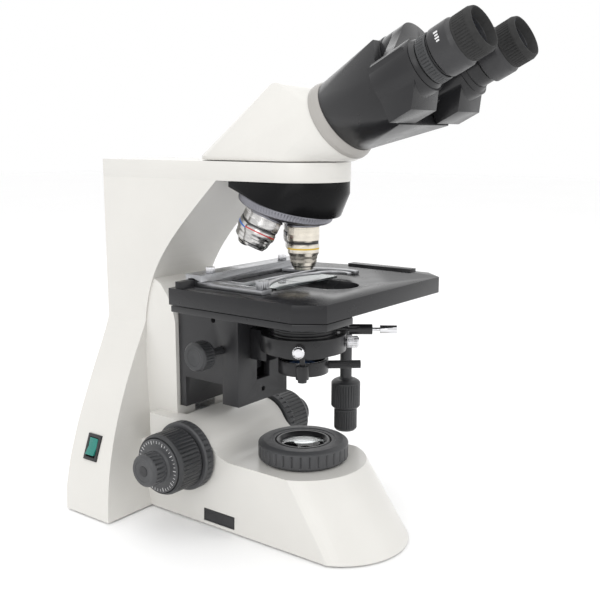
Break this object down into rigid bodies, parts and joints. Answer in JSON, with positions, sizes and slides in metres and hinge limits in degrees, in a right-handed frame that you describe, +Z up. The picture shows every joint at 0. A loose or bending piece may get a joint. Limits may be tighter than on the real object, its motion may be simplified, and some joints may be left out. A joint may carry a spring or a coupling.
{
  "type": "binocular compound microscope",
  "caption": "Laboratory compound microscope: flared stand, geared focus, mechanical stage with slide holder, focusing condenser, tilted turret and folding binocular head.",
  "frame": {"origin": "centre of the bounding box at the table, under the rubber feet", "axes": "+X to the user's right, +Y away from the user towards the arm, +Z up"},
  "size_m": [0.196, 0.3477, 0.3834],
  "materials": {
    "stand_casting": "off-white semi-gloss enamel",
    "base_plate": "plated sheet",
    "rubber_feet": "moulded rubber",
    "top_plate": "off-white semi-gloss enamel",
    "name_badge": "blank dark badge with a pale border",
    "field_lens_tube": "black",
    "field_lens": "clear lens",
    "field_ring": "dark grey with grip ribs",
    "lamp_mirror": "front-surface mirror on a bracket",
    "lamp_socket": "lamp socket",
    "lamp_bulb": "halogen capsule",
    "power_bezel": "black",
    "power_rocker": "translucent green",
    "power_inlet": "black",
    "circuit_board": "circuit board with components",
    "brightness_dial": "dark grey",
    "coarse_shaft": "machined",
    "coarse_knob_left": "black with grip ribs",
    "coarse_knob_right": "black with grip ribs",
    "fine_shaft": "machined",
    "fine_knob_left": "dark grey with a graduated skirt",
    "fine_knob_right": "dark grey with a graduated skirt",
    "tension_ring": "dark grey with grip ribs",
    "limit_ring": "dark grey with grip ribs",
    "focus_slide": "ground slide and rack",
    "stage_bracket": "black crinkle",
    "stage_base": "black",
    "stage_top": "black hard coat, worn grey on top",
    "stage_drive_knob_y": "black, knurled",
    "stage_drive_knob_x": "black, knurled",
    "slide_carriage": "satin nickel",
    "slide_holder_screws": "knurled screws",
    "slide_finger": "satin nickel",
    "glass_slide": "specimen slide and cover glass",
    "condenser_carrier": "black",
    "condenser_knob": "black, knurled",
    "condenser_body": "black",
    "condenser_lens": "clear lens",
    "condenser_iris": "black ring and lever",
    "condenser_screws": "knurled screws",
    "filter_holder": "black",
    "filter_glass": "blue filter",
    "nosepiece_shell": "black semi-gloss",
    "turret": "grey, knurled rim",
    "objective_4x": "satin chrome with a red band",
    "objective_10x": "satin chrome with a yellow band",
    "objective_40x": "satin chrome with a blue band",
    "objective_100x": "satin chrome with a white band",
    "head_housing": "off-white semi-gloss enamel",
    "head_ring": "grey",
    "head_screw": "knurled screw",
    "tube_body": "black semi-gloss",
    "fold_axle": "turned",
    "prism_arm_left": "black semi-gloss",
    "prism_arm_right": "black semi-gloss",
    "dioptre_ring": "black with grip ribs",
    "eyepiece_left": "black",
    "eyepiece_right": "black",
    "eye_lens_left": "coated lens",
    "eye_lens_right": "coated lens"
  },
  "bodies": {
    "stand": {"stand_casting": "stand_casting", "base_plate": "base_plate", "rubber_feet": "rubber_feet", "top_plate": "top_plate", "name_badge": "name_badge", "field_lens_tube": "field_lens_tube", "field_lens": "field_lens", "lamp_mirror": "lamp_mirror", "lamp_socket": "lamp_socket", "lamp_bulb": "lamp_bulb", "power_bezel": "power_bezel", "power_inlet": "power_inlet", "circuit_board": "circuit_board", "nosepiece_shell": "nosepiece_shell"},
    "power_rocker": {"power_rocker": "power_rocker"},
    "field_ring": {"field_ring": "field_ring"},
    "brightness_dial": {"brightness_dial": "brightness_dial"},
    "tension_ring": {"tension_ring": "tension_ring"},
    "limit_ring": {"limit_ring": "limit_ring"},
    "coarse_focus": {"coarse_shaft": "coarse_shaft", "coarse_knob_left": "coarse_knob_left", "coarse_knob_right": "coarse_knob_right"},
    "fine_focus": {"fine_shaft": "fine_shaft", "fine_knob_left": "fine_knob_left", "fine_knob_right": "fine_knob_right"},
    "focus_slide": {"focus_slide": "focus_slide"},
    "stage_carrier": {"stage_bracket": "stage_bracket", "stage_base": "stage_base"},
    "stage_table": {"stage_top": "stage_top"},
    "stage_knob_y": {"stage_drive_knob_y": "stage_drive_knob_y"},
    "stage_knob_x": {"stage_drive_knob_x": "stage_drive_knob_x"},
    "slide_carriage": {"slide_carriage": "slide_carriage", "slide_holder_screws": "slide_holder_screws", "glass_slide": "glass_slide"},
    "slide_finger": {"slide_finger": "slide_finger"},
    "condenser_knob": {"condenser_knob": "condenser_knob"},
    "condenser": {"condenser_carrier": "condenser_carrier", "condenser_body": "condenser_body", "condenser_lens": "condenser_lens", "condenser_screws": "condenser_screws"},
    "condenser_iris": {"condenser_iris": "condenser_iris"},
    "filter_holder": {"filter_holder": "filter_holder", "filter_glass": "filter_glass"},
    "turret": {"turret": "turret", "objective_4x": "objective_4x", "objective_10x": "objective_10x", "objective_40x": "objective_40x", "objective_100x": "objective_100x"},
    "head": {"head_housing": "head_housing", "head_ring": "head_ring", "tube_body": "tube_body", "fold_axle": "fold_axle"},
    "head_screw": {"head_screw": "head_screw"},
    "prism_arm_right": {"prism_arm_right": "prism_arm_right"},
    "prism_arm_left": {"prism_arm_left": "prism_arm_left"},
    "dioptre_ring": {"dioptre_ring": "dioptre_ring"},
    "eyepiece_left": {"eyepiece_left": "eyepiece_left", "eye_lens_left": "eye_lens_left"},
    "eyepiece_right": {"eyepiece_right": "eyepiece_right", "eye_lens_right": "eye_lens_right"}
  },
  "joints": [
    {"name": "power_switch", "type": "hinge", "parent": "stand", "child": "power_rocker", "pos_m": [-0.07649, 0.1488, 0.05195], "axis": [0, 1, 0], "range_deg": [-12, 0]},
    {"name": "field_ring_turn", "type": "hinge", "parent": "stand", "child": "field_ring", "pos_m": [0, -0.0092, 0.0647], "axis": [0, 0, 1], "range_deg": [-60, 60]},
    {"name": "brightness_turn", "type": "hinge", "parent": "stand", "child": "brightness_dial", "pos_m": [0.086, 0.1428, 0.045], "axis": [1, 0, 0], "range_deg": [-140, 140]},
    {"name": "tension_ring_turn", "type": "hinge", "parent": "stand", "child": "tension_ring", "pos_m": [-0.052, 0.0694, 0.0562], "axis": [1, 0, 0], "range_deg": [-45, 45]},
    {"name": "limit_ring_turn", "type": "hinge", "parent": "stand", "child": "limit_ring", "pos_m": [0.052, 0.0694, 0.0562], "axis": [1, 0, 0], "range_deg": [-180, 180]},
    {"name": "coarse_turn", "type": "hinge", "parent": "stand", "child": "coarse_focus", "pos_m": [0, 0.0694, 0.0562], "axis": [1, 0, 0], "range_deg": [-182, 4.6]},
    {"name": "fine_turn", "type": "hinge", "parent": "stand", "child": "fine_focus", "pos_m": [0, 0.0694, 0.0562], "axis": [1, 0, 0], "range_deg": [-900.1, 900.1]},
    {"name": "focus_travel", "type": "slide", "parent": "stand", "child": "focus_slide", "axis": [0, 0, 1], "range_m": [-0.02, 0.0005]},
    {"name": "fine_travel", "type": "slide", "parent": "focus_slide", "child": "stage_carrier", "axis": [0, 0, 1], "range_m": [-0.0005, 0.0005]},
    {"name": "stage_y", "type": "slide", "parent": "stage_carrier", "child": "stage_table", "axis": [0, 1, 0], "range_m": [-0.025, 0.025]},
    {"name": "stage_knob_y_turn", "type": "hinge", "parent": "stage_table", "child": "stage_knob_y", "pos_m": [0.075, 0.0018, 0.089], "axis": [0, 0, 1], "range_deg": [-450.1, 450.1]},
    {"name": "carriage_x", "type": "slide", "parent": "stage_table", "child": "slide_carriage", "axis": [1, 0, 0], "range_m": [-0.035, 0.02]},
    {"name": "stage_knob_x_turn", "type": "hinge", "parent": "stage_table", "child": "stage_knob_x", "pos_m": [0.075, 0.0018, 0.068], "axis": [0, 0, 1], "range_deg": [-630.1, 360.1]},
    {"name": "finger_open", "type": "hinge", "parent": "slide_carriage", "child": "slide_finger", "pos_m": [-0.0625, -0.0202, 0.2], "axis": [0, 0, 1], "range_deg": [-30, 0], "stiffness_Nm_per_rad": 0.05, "springref_deg": 17.19},
    {"name": "condenser_knob_turn", "type": "hinge", "parent": "stage_carrier", "child": "condenser_knob", "pos_m": [0, 0.0488, 0.141], "axis": [1, 0, 0], "range_deg": [-34.5, 206.4]},
    {"name": "condenser_travel", "type": "slide", "parent": "stage_carrier", "child": "condenser", "axis": [0, 0, 1], "range_m": [-0.018, 0.003]},
    {"name": "iris_turn", "type": "hinge", "parent": "condenser", "child": "condenser_iris", "pos_m": [0, -0.0092, 0.1604], "axis": [0, 0, 1], "range_deg": [-35, 35]},
    {"name": "filter_swing", "type": "hinge", "parent": "condenser", "child": "filter_holder", "pos_m": [-0.01933, -0.02274, 0.135], "axis": [0, 0, 1], "range_deg": [-95, 0]},
    {"name": "turret_turn", "type": "hinge", "parent": "stand", "child": "turret", "pos_m": [0, 0.00982, 0.24708], "axis": [0, -0.309, 0.9511], "continuous": true},
    {"name": "head_turn", "type": "hinge", "parent": "stand", "child": "head", "pos_m": [0, -0.0092, 0.2879], "axis": [0, 0, 1], "continuous": true},
    {"name": "head_screw_turn", "type": "hinge", "parent": "stand", "child": "head_screw", "pos_m": [0.034, -0.0092, 0.2809], "axis": [1, 0, 0], "range_deg": [0, 540]},
    {"name": "arm_right_fold", "type": "hinge", "parent": "head", "child": "prism_arm_right", "pos_m": [0, -0.1124, 0.36353], "axis": [0, -0.891, 0.454], "range_deg": [-15.4, 20.8]},
    {"name": "arm_left_fold", "type": "hinge", "parent": "head", "child": "prism_arm_left", "pos_m": [0, -0.1124, 0.36353], "axis": [0, -0.891, 0.454], "range_deg": [-20.9, 15.5]},
    {"name": "dioptre_turn", "type": "hinge", "parent": "prism_arm_left", "child": "dioptre_ring", "pos_m": [-0.031, -0.13407, 0.35404], "axis": [0, -0.891, 0.454], "range_deg": [-30.1, 150.1]},
    {"name": "eyepiece_left_travel", "type": "slide", "parent": "prism_arm_left", "child": "eyepiece_left", "axis": [0, -0.891, 0.454], "range_m": [-0.0005, 0.0025]},
    {"name": "eyepiece_right_pull", "type": "slide", "parent": "prism_arm_right", "child": "eyepiece_right", "axis": [0, -0.891, 0.454], "range_m": [0, 0.018]}
  ],
  "couplings": [
    {"joint": "coarse_turn", "follows": "focus_travel", "rad_per_m": 158.73},
    {"joint": "fine_turn", "follows": "fine_travel", "rad_per_m": 31416},
    {"joint": "stage_knob_y_turn", "follows": "stage_y", "rad_per_m": 314.16},
    {"joint": "stage_knob_x_turn", "follows": "carriage_x", "rad_per_m": 314.16},
    {"joint": "condenser_knob_turn", "follows": "condenser_travel", "rad_per_m": -200},
    {"joint": "arm_left_fold", "follows": "arm_right_fold", "ratio": -1},
    {"joint": "dioptre_turn", "follows": "eyepiece_left_travel", "rad_per_m": 1047.2}
  ]
}
